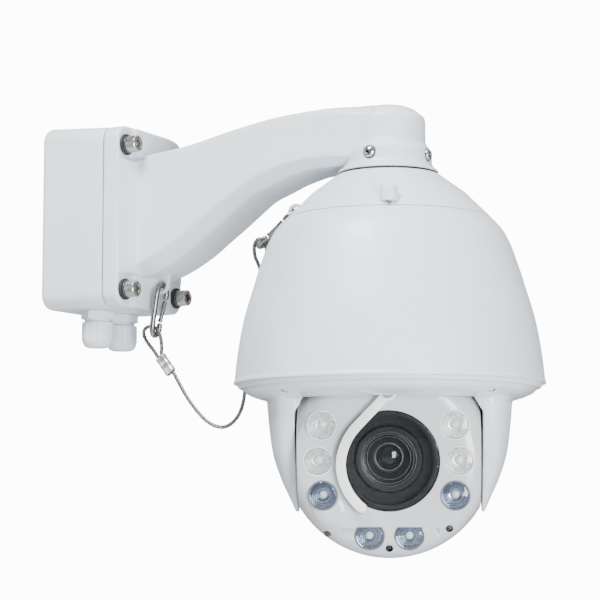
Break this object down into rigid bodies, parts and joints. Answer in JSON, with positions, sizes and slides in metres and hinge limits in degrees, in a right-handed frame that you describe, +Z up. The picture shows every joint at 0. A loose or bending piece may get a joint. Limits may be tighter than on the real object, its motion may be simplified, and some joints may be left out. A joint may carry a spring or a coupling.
{
  "type": "ptz dome camera",
  "caption": "Wall-mounted PTZ dome camera: junction box, gooseneck arm, bell sunshield, panning yoke and tilting infrared camera ball with window wiper, on a safety lanyard.",
  "frame": {"origin": "centre of the junction box's wall face", "axes": "+X out of the wall along the arm, +Z up, pan axis vertical at X 0.2835"},
  "size_m": [0.3989, 0.2308, 0.3384],
  "materials": {
    "white_paint": "cool white powder coat on die-cast aluminium",
    "face_white": "smooth white paint",
    "white_nylon": "moulded nylon",
    "black_rubber": "matt black rubber",
    "stainless_steel": "stainless steel",
    "dark_steel": "blackened steel",
    "bare_aluminium": "bare aluminium",
    "wire_rope": "stranded steel rope",
    "circuit_board": "solder mask",
    "black_plastic": "black moulding",
    "window_glass": "coated optical glass",
    "led_lens": "moulded acrylic lens"
  },
  "bodies": {
    "root": {"junction_box": "white_paint", "bracket_arm": "white_paint", "upper_cap": "white_paint", "dome_shell": "white_paint", "base_ring": "white_paint", "gland_body_1": "white_nylon", "gland_body_2": "white_nylon", "gland_nut_1": "white_nylon", "gland_nut_2": "white_nylon", "box_gasket": "black_rubber", "neck_gasket": "black_rubber", "pan_belt": "black_rubber", "flange_screw_1": "stainless_steel", "flange_screw_2": "stainless_steel", "flange_screw_3": "stainless_steel", "flange_screw_4": "stainless_steel", "collar_screw_1": "stainless_steel", "collar_screw_2": "stainless_steel", "collar_screw_3": "stainless_steel", "snap_hook_1": "stainless_steel", "snap_hook_2": "stainless_steel", "pan_bearing": "stainless_steel", "lanyard_ferrule_1": "bare_aluminium", "lanyard_ferrule_2": "bare_aluminium", "motor_plate": "bare_aluminium", "lanyard_rope": "wire_rope", "main_board": "circuit_board", "terminal_board": "circuit_board", "slip_ring": "black_plastic", "pan_motor": "black_plastic"},
    "pan_head": {"pan_platform": "white_paint", "yoke_cover_left": "white_paint", "yoke_cover_right": "white_paint", "pan_pulley": "bare_aluminium", "tilt_motor": "black_plastic", "tilt_belt": "black_rubber"},
    "camera_head": {"face_plate": "face_white", "rear_shell": "white_paint", "window": "window_glass", "zoom_camera": "black_plastic", "led_board": "circuit_board", "tilt_shaft": "bare_aluminium", "wiper_motor": "black_plastic", "face_screw_1": "dark_steel", "face_screw_2": "dark_steel", "face_screw_3": "dark_steel", "led_lens_1": "led_lens", "led_lens_2": "led_lens", "led_lens_3": "led_lens", "led_lens_4": "led_lens", "led_lens_5": "led_lens", "led_lens_6": "led_lens", "led_lens_7": "led_lens", "led_lens_8": "led_lens"},
    "wiper": {"wiper_arm": "face_white", "wiper_blade": "black_rubber"},
    "pan_drive": {"pan_motor_pulley": "bare_aluminium"},
    "tilt_drive": {"tilt_motor_pulley": "bare_aluminium"},
    "gate_1": {"hook_gate_1": "stainless_steel"},
    "gate_2": {"hook_gate_2": "stainless_steel"}
  },
  "joints": [
    {"name": "pan", "type": "hinge", "parent": "root", "child": "pan_head", "pos_m": [0.2835, 0, -0.182], "axis": [0, 0, 1], "continuous": true},
    {"name": "tilt", "type": "hinge", "parent": "pan_head", "child": "camera_head", "pos_m": [0.2835, 0, -0.182], "axis": [0.91, 0.4147, 0], "range_deg": [-11, 79]},
    {"name": "wiper_swing", "type": "hinge", "parent": "camera_head", "child": "wiper", "pos_m": [0.31188, -0.06228, -0.14437], "axis": [0.4071, -0.8932, -0.1908], "range_deg": [0, 80]},
    {"name": "pan_motor_turn", "type": "hinge", "parent": "root", "child": "pan_drive", "pos_m": [0.3315, 0, -0.056], "axis": [0, 0, 1], "continuous": true},
    {"name": "tilt_motor_turn", "type": "hinge", "parent": "pan_head", "child": "tilt_drive", "pos_m": [0.35302, 0.03168, -0.084], "axis": [0.91, 0.4147, 0], "range_deg": [-26, 185]},
    {"name": "gate_1_open", "type": "hinge", "parent": "root", "child": "gate_1", "pos_m": [0.08039, 0.0043, -0.07877], "axis": [0.9877, 0, -0.1564], "range_deg": [0, 22], "stiffness_Nm_per_rad": 0.02, "springref_deg": -20.05},
    {"name": "gate_2_open", "type": "hinge", "parent": "root", "child": "gate_2", "pos_m": [0.19062, -0.0174, -0.02016], "axis": [-0.6097, -0.0857, 0.788], "range_deg": [0, 22], "stiffness_Nm_per_rad": 0.02, "springref_deg": -20.05}
  ],
  "couplings": [
    {"joint": "pan_motor_turn", "follows": "pan", "ratio": 4.75},
    {"joint": "tilt_motor_turn", "follows": "tilt", "ratio": 2.3333}
  ]
}
